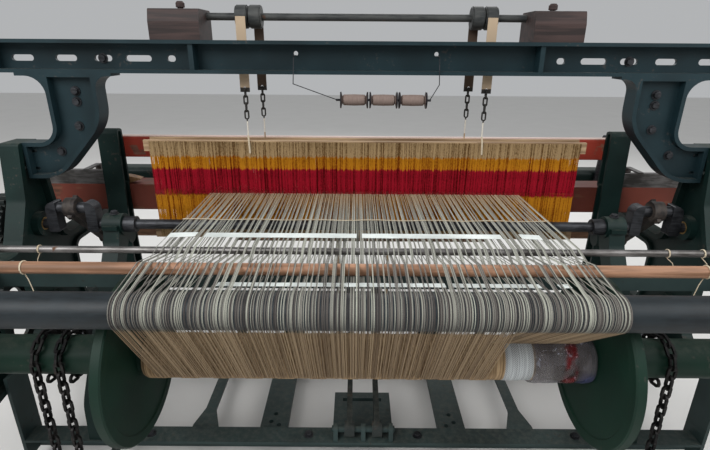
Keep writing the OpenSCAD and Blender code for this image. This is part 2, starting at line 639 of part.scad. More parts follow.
// Crankshaft: one bent bar with two cranks, its pins up at rest
pin_bar = 42;
cheek_t = 40;
cheek_r = 26;
leg_x = crank_w / 2 - cheek_t / 2;
module cheek(x, out) along(crank_y, pin_bar + 6) polygon(outline([
    [x - out * cheek_t / 2, crank_z - cheek_r, 6], [x + out * cheek_t / 2, crank_z - cheek_r, 6],
    [x + out * cheek_t / 2, crank_z + crank_throw + cheek_r, 30],
    [x - out * cheek_t / 2, crank_z + crank_throw + cheek_r, 5]], 6));
module crankshaft() color("#3a3a3c") union() {
    bar(crank_d, -crank_x + leg_x, crank_x - leg_x, crank_y, crank_z);
    both() {
        bar(crank_d, crank_x + leg_x, shaft_half, crank_y, crank_z);
        bar(pin_bar, crank_x - leg_x, crank_x + leg_x, crank_y, crank_z + crank_throw);
        cheek(crank_x - leg_x, -1);
        cheek(crank_x + leg_x, 1);
        bar(62, post_x - 82, post_x - 37, crank_y, crank_z);
    }
}
arm_w = 44;
pin_y = 300;
pin_z = 690;
arm_c = [[crank_y, crank_z + crank_throw], [pin_y, pin_z]];
arm_a = atan2(arm_c[1][1] - arm_c[0][1], arm_c[1][0] - arm_c[0][0]);
module crank_arm() {
    difference() {
        union() {
            across(crank_x, arm_w) translate(arm_c[0]) circle(r = 38);
            across(crank_x, arm_w) translate(arm_c[1]) circle(r = 30);
            across(crank_x, arm_w - 12) polygon([
                polar(arm_c[0], 34, arm_a + 84), polar(arm_c[0], 34, arm_a - 84),
                polar(arm_c[1], 26, arm_a - 84), polar(arm_c[1], 26, arm_a + 84)]);
            for (k = [90, 270]) across(crank_x, 16) translate(arm_c[0]) rotate(arm_a + k)
                translate([34, -9]) square([14, 18]);
        }
        bar(pin_bar + run_c * 2, crank_x - arm_w, crank_x + arm_w, crank_y, crank_z + crank_throw);
    }
    bar(28, sword_out + 0.5, crank_x + arm_w / 2 + 8, pin_y, pin_z);
}
module crank_arm_left() color("#4a3a2c") mirror([1, 0, 0]) crank_arm();
module crank_arm_right() color("#4a3a2c") crank_arm();

// Gears: cast teeth with straight flanks, a tooth or a gap on the centre line
function tooth(n, a) = let (p = 360 / n, m = gear_m)
    [for (t = [[-1.25, -0.32], [0, -0.23], [1, -0.12], [1, 0.12], [0, 0.23], [-1.25, 0.32]])
        polar([0, 0], (n / 2 + t[0]) * m, a + t[1] * p)];
module gear(n, first) polygon([for (i = [0 : n - 1]) each tooth(n, first + i * 360 / n)]);
gear_face = 46;
gear_hub = 14;
gear_x = -out_x - 30 - gear_face / 2;
module crank_gear() color("#33403c") difference() {
    union() {
        translate([0, crank_y, crank_z]) across(gear_x, gear_face) gear(pinion_n, -90);
        bar(80, gear_x - gear_face / 2 - gear_hub, gear_x + gear_face / 2 + 10, crank_y, crank_z);
    }
    bar(crank_d, gear_x - 60, gear_x + 60, crank_y, crank_z);
}
module tappet_gear() color("#33403c") difference() {
    union() {
        translate([0, crank_y, tappet_z]) across(gear_x, gear_face) difference() {
            gear(wheel_n, 90 + 180 / wheel_n);
            circle(r = (wheel_n / 2 - 3.4) * gear_m);
        }
        bar(wheel_n * gear_m - 50, gear_x - 7, gear_x + 7, crank_y, tappet_z);
        bar(96, gear_x - gear_face / 2 - 8, gear_x + gear_face / 2 + 8, crank_y, tappet_z);
    }
    bar(tappet_d, gear_x - 60, gear_x + 60, crank_y, tappet_z);
    for (i = [0 : 5]) translate([gear_x, crank_y, tappet_z]) rotate([60 * i + 30, 0, 0])
        translate([-20, 122, 0]) rotate([0, 90, 0]) cylinder(r = 46, h = 40);
}

// Tappet shaft with its two shedding tappets, lobes opposed
lift = 26;
tappet_r = 100;
function tappet_at(a) = tappet_r + lift * sin(90 * min(1, max(-1, 1.5 * cos(a))));
module tappet_shaft() color("#2e3436") union() {
    bar(tappet_d, gear_x - 50, out_x + 20, crank_y, tappet_z);
    for (k = [-1, 1]) translate([0, crank_y, tappet_z]) {
        across(k * treadle_x, 34)
            polygon([for (i = [0 : 47]) polar([0, 0], tappet_at(i * 7.5 + (k > 0 ? 180 : 0)), i * 7.5)]);
        across(k * (treadle_x + 30), 28) circle(d = 88);
    }
    both() bar(70, in_x - 26, in_x - 1, crank_y, tappet_z);
}

// Pulleys and handwheel on the shaft ends
module wheel_rim(r, w, rim, hub_r, bore_r, x, spokes) difference() {
    bar(r * 2, x, x + w, crank_y, crank_z);
    bar((r - rim) * 2, x - 1, x + w / 2 - 6, crank_y, crank_z);
    bar((r - rim) * 2, x + w / 2 + 6, x + w + 1, crank_y, crank_z);
    for (i = [0 : spokes - 1]) translate([x, crank_y, crank_z]) rotate([360 / spokes * i, 0, 0])
        translate([-1, (r - rim + hub_r) / 2, 0]) rotate([0, 90, 0])
            cylinder(r = (r - rim - hub_r) / 2 - 5, h = w + 2);
    bar(bore_r * 2, x - 1, x + w + 1, crank_y, crank_z);
}
module hub(x0, x1, r, bore_r) difference() {
    bar(r * 2, x0, x1, crank_y, crank_z);
    bar(bore_r * 2, x0 - 1, x1 + 1, crank_y, crank_z);
}
pulley_d = 240;
fast_x = out_x + 38;
pulley_face = 66;
module fast_pulley() color("#56595c") union() {
    wheel_rim(pulley_d / 2, pulley_face, 12, 40, crank_d / 2, fast_x, 5);
    hub(fast_x - 4, fast_x + pulley_face, 36, crank_d / 2);
}
module loose_pulley() color("#56595c") union() {
    wheel_rim(pulley_d / 2, pulley_face, 12, 40, crank_d / 2 + run_c, fast_x + pulley_face + 4, 5);
    hub(fast_x + pulley_face + 1, fast_x + pulley_face * 2 + 8, 32, crank_d / 2 + run_c);
}
hand_gap = 33;
hand_hub = 44;
hand_x = gear_x - gear_face / 2 - gear_hub - hand_gap - hand_hub;
module handwheel() color("#2f4a40") union() {
    wheel_rim(pulley_d / 2, 34, 16, 38, crank_d / 2, hand_x, 4);
    hub(hand_x - 6, hand_x + hand_hub, 34, crank_d / 2);
}

// Sley: rocking shaft, swords, sley beam, reed, hand rail and shuttle boxes
sword_in = 1006;
sword_out = 1088;
stick_y = reed_y + 50;
sley_half = shaft_half;
slot_out = sley_half - 10;
stick_x = slot_out - 140;
slot_in = stick_x - 50;
stick_z = 190;
shoe = 22;
module rocking_shaft() color("#3c4648") union() {
    bar(rock_d, -stick_x - 40, stick_x + 40, reed_y, rock_z);
    both() {
        difference() {
            across(stick_x, 40) polygon([[reed_y - 30, 82], [stick_y + 32, 82], [stick_y + 32, stick_z + shoe],
                [stick_y - 32, stick_z + shoe], [reed_y - 30, rock_z + 30]]);
            block(stick_x - 40, stick_x + 40, stick_y - 16, stick_y + 16, stick_z - 30, stick_z + 60);
        }
        translate([stick_x, stick_y - 32, stick_z]) rotate([-90, 0, 0]) cylinder(d = 20, h = 64);
    }
}
race_z = 905;
beam_low = 790;
rail_low = 1022;
rail_high = 1114;
beam_back = reed_y - 10;
beam_front = reed_y + 100;
hand_back = reed_y - 2;
sword_pts = [[reed_y - 42, rock_z, 0], [reed_y - 42, rock_z - 30, 28], [reed_y + 42, rock_z - 30, 28],
    [reed_y + 42, rock_z + 40, 40], [reed_y + 10, rock_z + 140, 60], [beam_back - 1, 700, 60],
    [beam_back, beam_low + 10, 0], [beam_back, race_z + 6, 0], [hand_back, race_z + 12, 0],
    [hand_back, rail_high + 26, 10], [hand_back - 44, rail_high + 40, 20], [hand_back - 56, 880, 60],
    [reed_y - 78, 600, 100], [reed_y - 48, 240, 80]];
module sley_sword() difference() {
    union() {
        across((sword_in + sword_out) / 2, 26) polygon(outline(sword_pts));
        across((sword_in + sword_out) / 2, sword_out - sword_in) difference() {
            polygon(outline(sword_pts));
            polygon(outline(inset(sword_pts, 11)));
        }
        bar(68, sword_in, sword_out, pin_y, pin_z);
        bar(84, sword_in, sword_out, reed_y, rock_z);
    }
    bar(rock_d, sword_in - 1, sword_out + 1, reed_y, rock_z);
    bar(24, sword_in - 1, sword_out + 1, reed_y - 26, 1060);
}
module sley_swords() color("#173a30") both() sley_sword();
module sley_beam() color("#8c4a36") difference() {
    across(0, sley_half * 2) polygon(outline([[beam_back, beam_low, 6], [beam_front, beam_low, 14],
        [beam_front, race_z, 3], [beam_back, race_z, 0]], 3));
    both() block(slot_in, slot_out, stick_y - 16, stick_y + 16, beam_low - 1, race_z + 1);
    both() for (z = [820, 876]) translate([(sword_in + sword_out) / 2, beam_back - 1, z])
        rotate([-90, 0, 0]) cylinder(d = 14, h = 140);
}
reed_half = 840;
reed_t = 6;
reed_high = rail_low + 8;
module reed() color("#9aa0a4") along(reed_y, reed_t) difference() {
    translate([-reed_half, race_z]) square([reed_half * 2, reed_high - race_z]);
    for (i = [0 : 2 * reed_half / warp_pitch - 1])
        translate([-reed_half + i * warp_pitch + dent_w / 2, race_z + 12])
            square([warp_pitch - dent_w, reed_high - race_z - 24]);
}
module hand_rail() color("#aa3c2d") difference() {
    across(0, sword_out * 2) polygon(outline([[hand_back, rail_low, 4], [hand_back + 60, rail_low, 10],
        [hand_back + 60, rail_high - 6, 18], [hand_back, rail_high, 12]], 4));
    block(-reed_half - 1, reed_half + 1, reed_y - reed_t / 2 - 0.1, reed_y + reed_t / 2 + 0.1,
        rail_low - 1, reed_high + 0.1);
    both() block(sword_in - 1, sword_out + 1, hand_back + 60, hand_back + 61, rail_low, rail_high);
}
box_in = 1110;
box_high = 965;
module shuttle_boxes() color("#8f9496") both() union() {
    block(box_in, slot_out, beam_back + 2, beam_back + 12, race_z, box_high);
    block(box_in, slot_out, beam_front - 12, beam_front, race_z, box_high - 20);
    block(box_in + 60, box_in + 84, beam_back + 2, beam_front, box_high, box_high + 6);
    block(box_in + 60, box_in + 84, beam_front - 12, beam_front, box_high - 21, box_high + 1);
}
shuttle_l = 330;
shuttle_mid = stick_x - 228;
module shuttle() color("#b07a48") translate([-shuttle_mid, 0, race_z]) difference() {
    translate([0, 0, 17]) along(reed_y + 22, 36) polygon(outline([
        [-shuttle_l / 2, 2, 2], [-shuttle_l / 2 + 60, -17, 30],
        [shuttle_l / 2 - 60, -17, 30], [shuttle_l / 2, 2, 2],
        [shuttle_l / 2 - 60, 17, 30], [-shuttle_l / 2 + 60, 17, 30]], 4));
    translate([-80, reed_y + 11, 8]) cube([160, 22, 40]);
}

// Picking stick with its leather picker
stick_tilt = 9;
picker_z = race_z - stick_z + 9;
picker_h = 46;
module picking_stick() translate([stick_x, stick_y, stick_z]) rotate([0, stick_tilt, 0]) union() {
    difference() {
        translate([-15, -14, -18]) cube([30, 28, picker_z + picker_h + 30]);
        translate([0, -15, 0]) rotate([-90, 0, 0]) cylinder(d = 20 + run_c * 2, h = 30);
    }
    translate([-33, -38, picker_z]) cube([18, 52, picker_h]);
}
module picking_stick_right() color("#a07850") picking_stick();
module picking_stick_left() color("#a07850") mirror([1, 0, 0]) picking_stick();

// Treadles under the tappets, each with its bowl
bowl_z = 268;
bowl_r = 36;
treadle_top = link_low - 3;
module treadle(k, end_y) difference() {
    union() {
        across(k * treadle_x, 20) polygon(outline([[pivot_y - 24, pivot_z - 18, 14], [crank_y, 206, 60],
            [end_y + 16, 240, 6], [end_y + 16, treadle_top, 4], [end_y - 16, treadle_top, 4],
            [crank_y + 44, 270, 10], [crank_y, 244, 20], [pivot_y - 24, pivot_z + 26, 18]], 5));
        bar(56, k * treadle_x - 18, k * treadle_x + 18, pivot_y, pivot_z);
        bar(bowl_r * 2, k * treadle_x - 18, k * treadle_x + 18, crank_y, bowl_z);
        mirror([k < 0 ? 1 : 0, 0, 0]) bar(24, treadle_x, link_x + 14, end_y, treadle_top - 12);
    }
    bar(pin_d + run_c * 2, k * treadle_x - 30, k * treadle_x + 30, pivot_y, pivot_z);
}
module treadle_back() color("#3c4a46") treadle(-1, heald_back_y);
module treadle_front() color("#3c4a46") treadle(1, heald_front_y);

// Selvedge spools on a rod hung from two holes in the rail by wires
spool_y = 60;
spool_z = 1294;
spool_rod_d = 8;
spool_ends = [-104, 224];
wire_t = 3;
hole_d = 16;
wire_z = slot_z + 20 - hole_d / 2 + wire_t / 2 + 0.1;
module wire_run(a, b) translate(a) rotate([0, acos((b - a)[2] / norm(b - a)), atan2((b - a)[1], (b - a)[0])])
    union() {
        cylinder(d = wire_t, h = norm(b - a), $fn = 16);
        sphere(d = wire_t * 1.2, $fn = 16);
    }
module hanger_wire(x, end) {
    wire_run([x, rail_front + 3, wire_z], [x, spool_y, wire_z]);
    wire_run([x, spool_y, wire_z], [x * 1.02, spool_y, rail_z - 30]);
    wire_run([x * 1.02, spool_y, rail_z - 30], [end, spool_y, spool_z]);
}
module spool_hanger() color("#2a2a2c") union() {
    bar(spool_rod_d, spool_ends[0], spool_ends[1], spool_y, spool_z);
    hanger_wire(-hole_x, spool_ends[0] + 4);
    hanger_wire(hole_x, spool_ends[1] - 4);
}
spool_l = 96;
module yarn_spool(x) translate([x, spool_y, spool_z]) rotate([0, 90, 0]) rotate_extrude() polygon([
    [spool_rod_d / 2 + 0.3, 0], [28, 0], [28, 4], [12, 8], [18, 12], [19, spool_l / 2], [18, spool_l - 12],
    [12, spool_l - 8], [28, spool_l - 4], [28, spool_l], [spool_rod_d / 2 + 0.3, spool_l]]);
spool_p = 101;
module yarn_spool_1() color("#be9f8c") yarn_spool(-89);
module yarn_spool_2() color("#a08068") yarn_spool(-89 + spool_p);
module yarn_spool_3() color("#be9f8c") yarn_spool(-89 + spool_p * 2);

// Starting handle on its pin under the breast beam
grip_z = handle_z + 160;
module stop_handle() color("#3a4a46") difference() {
    union() {
        translate([handle_x, 0, 0]) along(handle_y, 12) polygon(outline([
            [-20, handle_z - 20, 14], [20, handle_z - 20, 14],
            [12, grip_z + 10, 4], [-12, grip_z + 10, 4]], 4));
        translate([handle_x, handle_y, grip_z]) rotate_extrude()
            polygon([[0, 0], [13, 0], [16, 30], [15, 90], [9, 104], [0, 104]]);
    }
    translate([handle_x, handle_y - 20, handle_z]) rotate([-90, 0, 0])
        cylinder(d = handle_pin_d + run_c * 2, h = 40);
}

side_frame_left();
side_frame_right();
top_rail();
arch_bracket_left();
arch_bracket_right();
breast_beam();
back_cross_rail();
front_cross_rail();
back_tie_bar();
floor_bars();
crank_bearings();
shaft_bushes();
rocker_pedestals();
whip_brackets();
roller_blocks();
steel_lease_rod();
wooden_lease_rod();
warp_lath();
let_off_chains();
warp_sheet();
cloth();
spool_hanger();
yarn_spool_1();
yarn_spool_2();
yarn_spool_3();
crankshaft();
crank_gear();
fast_pulley();
handwheel();
loose_pulley();
crank_arm_left();
crank_arm_right();
tappet_shaft();
tappet_gear();
rocking_shaft();
sley_swords();
sley_beam();
reed();
hand_rail();
shuttle_boxes();
shuttle();
picking_stick_left();
picking_stick_right();
heald_back();
heald_front();
heald_back_rig();
heald_front_rig();
heald_roller();
treadle_back();
treadle_front();
beam_barrel();
beam_flanges();
yarn_roll();
whip_roll();
take_up_roller();
cloth_roller();
weight_lever_left();
weight_lever_right();
stop_handle();
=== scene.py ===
from math import acos, atan2, cos, hypot, pi, radians, sin
from random import Random
import bmesh
import bpy
from mathutils import Matrix, Vector


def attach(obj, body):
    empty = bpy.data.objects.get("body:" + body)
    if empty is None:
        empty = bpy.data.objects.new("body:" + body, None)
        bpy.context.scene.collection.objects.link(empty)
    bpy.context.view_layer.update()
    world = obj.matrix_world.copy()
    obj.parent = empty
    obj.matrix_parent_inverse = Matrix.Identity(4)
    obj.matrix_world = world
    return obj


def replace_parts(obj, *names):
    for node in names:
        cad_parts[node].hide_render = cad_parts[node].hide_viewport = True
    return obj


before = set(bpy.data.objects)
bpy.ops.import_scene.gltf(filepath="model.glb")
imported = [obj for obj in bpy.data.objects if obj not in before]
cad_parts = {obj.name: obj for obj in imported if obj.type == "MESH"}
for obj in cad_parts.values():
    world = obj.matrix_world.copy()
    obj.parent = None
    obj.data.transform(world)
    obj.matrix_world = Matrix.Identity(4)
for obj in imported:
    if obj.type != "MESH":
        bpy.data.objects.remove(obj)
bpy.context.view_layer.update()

print("frame loaded")

# Camera where the photographer stood, behind the loom and looking down at the warp
view = {"at": (-0.035, -1.644, 1.470), "down": 20.5, "roll": 0.4, "lens": 24.34, "sensor": 36}
cameraData = bpy.data.cameras.new("camera")
cameraData.lens = view["lens"]
cameraData.sensor_width = view["sensor"]
camera = bpy.data.objects.new("camera", cameraData)
bpy.context.scene.collection.objects.link(camera)
camera.matrix_world = (Matrix.Translation(view["at"]) @ Matrix.Rotation(radians(90 - view["down"]), 4, "X")
                       @ Matrix.Rotation(radians(view["roll"]), 4, "Z"))
bpy.context.scene.camera = camera
bpy.context.scene.view_settings.view_transform = "Standard"


# A shader socket, so that sums and products of sockets add their Math nodes
class Wire:
    def __init__(self, tree, socket=None):
        self.tree = tree
        self.socket = socket

    def node(self, kind, settings={}, inputs={}, out=0):
        made = self.tree.nodes.new("ShaderNode" + kind)
        for key, value in settings.items():
            if key == "stops":
                ramp = made.color_ramp
                while len(ramp.elements) < len(value):
                    ramp.elements.new(0.5)
                for stop, (place, colour) in zip(ramp.elements, value):
                    stop.position = place
                    stop.color = (*colour, 1)
            else:
                setattr(made, key, value)
        for key, value in inputs.items():
            if isinstance(value, Wire):
                self.tree.links.new(value.socket, made.inputs[key])
            elif isinstance(value, tuple) and key in (6, 7):  # the colours of a Mix node
                made.inputs[key].default_value = (*value, 1)
            else:
                made.inputs[key].default_value = value
        return Wire(self.tree, made.outputs[out])

    def maths(self, operation, first, second=0.0):
        return self.node("Math", {"operation": operation}, {0: first, 1: second})

    def __add__(self, other):
        return self.maths("ADD", self, other)

    def __mul__(self, other):
        return self.maths("MULTIPLY", self, other)

    def __sub__(self, other):
        return self.maths("SUBTRACT", self, other)

    def __rsub__(self, other):
        return self.maths("SUBTRACT", other, self)

    def __gt__(self, other):
        return self.maths("GREATER_THAN", self, other)

    __radd__ = __add__
    __rmul__ = __mul__

    # a smooth step from 0 at low to 1 at high
    def step(self, low, high):
        return self.node("MapRange", {"interpolation_type": "SMOOTHSTEP"}, {0: self, 1: low, 2: high})

    # goes from one colour to another as this value goes from 0 to 1
    def blend(self, low, high):
        return self.node("Mix", {"data_type": "RGBA"}, {0: self, 6: low, 7: high}, 2)

    def noise(self, scale, detail=3.0, stretch=(1, 1, 1)):
        spread = self.node("Mapping", {}, {"Vector": self, "Scale": stretch})
        return self.node("TexNoise", {}, {"Vector": spread, "Scale": scale, "Detail": detail})

    def part(self, axis):
        return self.node("SeparateXYZ", {}, {0: self}, axis)


# A new material: finish(place) gives the colour, roughness and bump from Object coordinates
def material(name, finish, **fixed):
    made = bpy.data.materials.new(name)
    made.use_nodes = True
    tree = made.node_tree
    shader = tree.nodes["Principled BSDF"]
    for key, value in fixed.items():
        shader.inputs[key.replace("_", " ")].default_value = value
    place = Wire(tree).node("TexCoord", {}, {}, 3)
    for key, wire in finish(place).items():
        if key == "bump":
            height, strength, depth = wire
            bump = height.node("Bump", {}, {"Height": height, "Strength": strength, "Distance": depth})
            tree.links.new(bump.socket, shader.inputs["Normal"])
        else:
            tree.links.new(wire.socket, shader.inputs[key])
    return made


# Old machine enamel: mottled paint, chips to dark iron, oily streaks and lint on what faces up
def enamel(name, paint, worn, chips=0.62, lint=0.35, gloss=0.46):
    def finish(place):
        mottle = place.noise(9, 5)
        fine = place.noise(70, 4)
        chip = (mottle * 0.45 + fine * 0.55).step(chips, chips + 0.06) * 0.7
        grease = place.noise(3.2, 3).step(0.45, 0.75)
        up = place.node("NewGeometry", {}, {}, 1).part(2).step(0.55, 0.95)
        clumps = place.noise(55, 7).step(0.34, 0.78)
        fibres = place.noise(420, 2).step(0.4, 0.7)
        fluff = (clumps * 0.7 + fibres * 0.3) * up * lint
        base = mottle.step(0.3, 0.7).blend(paint, tuple(c * 1.35 for c in paint))
        base = (grease * 0.55).blend(base, tuple(c * 0.35 for c in paint))
        base = chip.blend(base, worn)
        base = fluff.blend(base, (0.20, 0.19, 0.16))
        rough = gloss + mottle * 0.12 + fluff * 0.9 + chip * 0.12
        return {"Base Color": base, "Roughness": rough,
                "bump": (fine * 0.6 - chip * 0.8 + fluff, 0.35, 0.0012)}
    return material(name, finish, Specular_IOR_Level=0.22)


# Steel: dark with oil or bright with use, brown where it rusts
def steel(name, bright, dark, rust=(0.11, 0.05, 0.025), rough=0.36, rusty=0.62, metal=0.85):
    def finish(place):
        cloud = place.noise(12, 5)
        fine = place.noise(160, 3, (0.15, 1, 1))
        spots = (cloud * 0.6 + place.noise(55, 4) * 0.4).step(rusty, rusty + 0.08)
        base = (cloud * 0.6 + fine * 0.4).step(0.36, 0.62).blend(dark, bright)
        return {"Base Color": spots.blend(base, rust), "Roughness": rough + fine * 0.18 + spots * 0.25,
                "Metallic": (1 - spots * 0.8) * metal, "bump": (fine * 0.5 + spots, 0.25, 0.0006)}
    return material(name, finish, Specular_IOR_Level=0.35)


# Wood with grain along X, dark where hands and oil have been; where asked, a pale top that is part wear, part
# painted highlight
def wood(name, pale, grain, stretch=(0.06, 1, 1), rough=0.5, paint=None, edge=None):
    def finish(place):
        rings = place.noise(60, 6, stretch)
        soil = place.noise(5, 4).step(0.4, 0.75)
        base = rings.step(0.38, 0.62).blend(grain, pale)
        if paint:
            worn = (place.noise(16, 5) * 0.7 + rings * 0.3).step(0.56, 0.6)
            base = worn.blend(paint, base)
        base = (soil * 0.45).blend(base, tuple(c * 0.4 for c in grain))
        # The pale top is part worn paint, part painted highlight
        if edge:
            base = place.part(2).step(*edge).blend(base, (0.62, 0.48, 0.42))
        return {"Base Color": base, "Roughness": rough + rings * 0.2, "bump": (rings, 0.3, 0.0008)}
    return material(name, finish, Specular_IOR_Level=0.3)


# Yarn laid along one axis: fine threads side by side with soft colour drift
def yarn(name, pale, shade, scale=900, stretch=(1, 0.02, 0.02)):
    def finish(place):
        thread = place.noise(scale, 2, stretch)
        drift = place.noise(14, 3, (1, 0.3, 0.3))
        base = (thread * 0.6 + drift * 0.4).step(0.35, 0.66).blend(shade, pale)
        return {"Base Color": base, "bump": (thread, 0.5, 0.0006)}
    return material(name, finish, Roughness=0.92, Specular_IOR_Level=0.15)


# Warp threads: pale, tan and brown ends side by side, golden where they near the healds
warpTones = [(0.38, (0.055, 0.049, 0.048)), (0.46, (0.135, 0.12, 0.11)),
             (0.53, (0.26, 0.255, 0.225)), (0.66, (0.46, 0.47, 0.40))]


def warpCotton(place):
    ends = place.noise(310, 2, (1, 0.001, 0.001))
    tone = ends.node("ValToRGB", {"stops": warpTones}, {0: ends})
    gold = place.part(1).step(-0.12, 0.14) * 0.55
    bleached = place.part(1).step(-0.66, -0.34) * 0.38
    # Painted shade: the threads darken below the whip roll's middle, where its underside is in shade
    whipUnderShade = (1 - place.part(2).step(0.845, 0.905)) * 0.55
    # Painted light: low down, towards the yarn roll, the same yarn takes the roll's tan, the tone that the
    # light gives it there
    rollLitMask = place.part(2).step(0.852, 0.826) * 0.82
    rollLitTan = ends.step(0.36, 0.60).blend((0.15, 0.10, 0.058), (0.37, 0.27, 0.165))
    tone = gold.blend(bleached.blend(tone, (0.50, 0.51, 0.45)), (0.44, 0.28, 0.13))
    tone = rollLitMask.blend(whipUnderShade.blend(tone, (0.055, 0.052, 0.050)), rollLitTan)
    return {"Base Color": tone, "bump": (place.noise(900, 2), 0.4, 0.0005)}


# Knitted healds: tan loops on top, then yellow, the red eye band and yellow again
tan, yellow, red = (0.36, 0.25, 0.13), (0.45, 0.19, 0.010), (0.30, 0.006, 0.018)
healdBands = [(0.0, tan), (0.185, tan), (0.20, yellow), (0.45, yellow), (0.465, red), (0.71, red),
              (0.725, yellow), (0.825, yellow), (0.84, tan), (1.0, tan)]
darkBands = [(stop, tuple(c * c * 0.75 for c in tone)) for stop, tone in healdBands]


def healdCotton(place):
    stitch = place.noise(420, 2, (1, 1, 0.35))
    cords = place.noise(190, 2, (1, 0.2, 0.012))
    height = (place.part(2) - 0.74) * 2.5 + (cords - 0.5) * 0.075
    bands = height.node("ValToRGB", {"stops": healdBands}, {0: height})
    dark = height.node("ValToRGB", {"stops": darkBands}, {0: height})
    return {"Base Color": (stitch * 0.35 + cords * 0.65).step(0.36, 0.56).blend(dark, bands),
            "bump": (stitch, 0.6, 0.0012)}


# Yarn left on the beam: tan, then a white band and a dark bare end towards the right flange
rollBands = {"white": (0.392, 0.397), "whiteEnd": (0.473, 0.478), "bare": (0.478, 0.484)}


def beamCotton(place):
    across = place.part(0)
    coil = place.noise(700, 2, (1, 0.05, 0.05))
    drift = place.noise(7, 4)
    white = across.step(*rollBands["white"]) * (1 - across.step(*rollBands["whiteEnd"]))
    ends = place.noise(230, 3, (1, 0.02, 0.02))
    mixed = coil * 0.3 + drift * 0.25 + ends * 0.45
    base = mixed.step(0.38, 0.62).blend((0.15, 0.095, 0.05), (0.40, 0.28, 0.16))
    slant = place.node("Math", {"operation": "SINE"}, {0: (across + place.part(2) * 0.9) * 1300})
    bare = across.step(*rollBands["bare"]) * 0.75
    tape = (slant * 0.25 + ends).step(0.28, 0.55).blend((0.16, 0.16, 0.16), (0.48, 0.51, 0.52))
    base = bare.blend(white.blend(base, tape), (0.07, 0.06, 0.055))
    return {"Base Color": base, "bump": (coil + drift * 0.5, 0.6, 0.001)}


# Selvedge spools: dark flanges and cores, pale thread between them
def spoolFinish(place):
    turns = place.noise(900, 2, (1, 0.05, 0.05))
    flat = place.node("VectorMath", {"operation": "MULTIPLY"}, {0: place, 1: (0, 1, 1)})
    away = flat.node("VectorMath", {"operation": "SUBTRACT"}, {0: flat, 1: (0, 0.06, 1.294)})  # from the rod
    reach = away.node("VectorMath", {"operation": "LENGTH"}, {0: away}, 1)
    rim = reach.step(0.0195, 0.0205)
    wound = turns.blend((0.12, 0.08, 0.065), (0.27, 0.21, 0.185))
    return {"Base Color": rim.blend(wound, (0.012, 0.010, 0.012)), "Roughness": 0.8 - rim * 0.4,
            "bump": (turns * (1 - rim), 0.5, 0.0006)}


# Straps are leather, staves wood, chains black iron and the lower cords pale cotton.
# Each begins at a height, and the pale straps are the outer pair.
rigParts = {"cord": (1.152, 1.154), "chain": (1.205, 1.207), "strap": (1.3255, 1.3265), "paleStrap": 0.412}


def rigFinish(place):
    height = place.part(2)
    reach = place.part(0)
    chainUp, strap = height.step(*rigParts["chain"]), height.step(*rigParts["strap"])
    chain = chainUp * (1 - strap)
    cordPart = height.step(*rigParts["cord"]) * (1 - chainUp)
    grain = place.noise(60, 5, (0.06, 1, 1))
    hide = place.noise(90, 4)
    outer = place.node("Math", {"operation": "ABSOLUTE"}, {0: reach}) > rigParts["paleStrap"]
    strapColour = outer.blend((0.075, 0.05, 0.035), (0.42, 0.32, 0.22))
    base = grain.step(0.35, 0.65).blend((0.22, 0.14, 0.08), (0.42, 0.29, 0.17))
    base = cordPart.blend(base, (0.62, 0.58, 0.50))
    base = chain.blend(base, (0.035, 0.033, 0.03))
    base = strap.blend(base, strapColour)
    return {"Base Color": base, "Roughness": 0.72 - chain * 0.25, "Metallic": chain * 0.6,
            "bump": (hide, 0.3, 0.0008)}


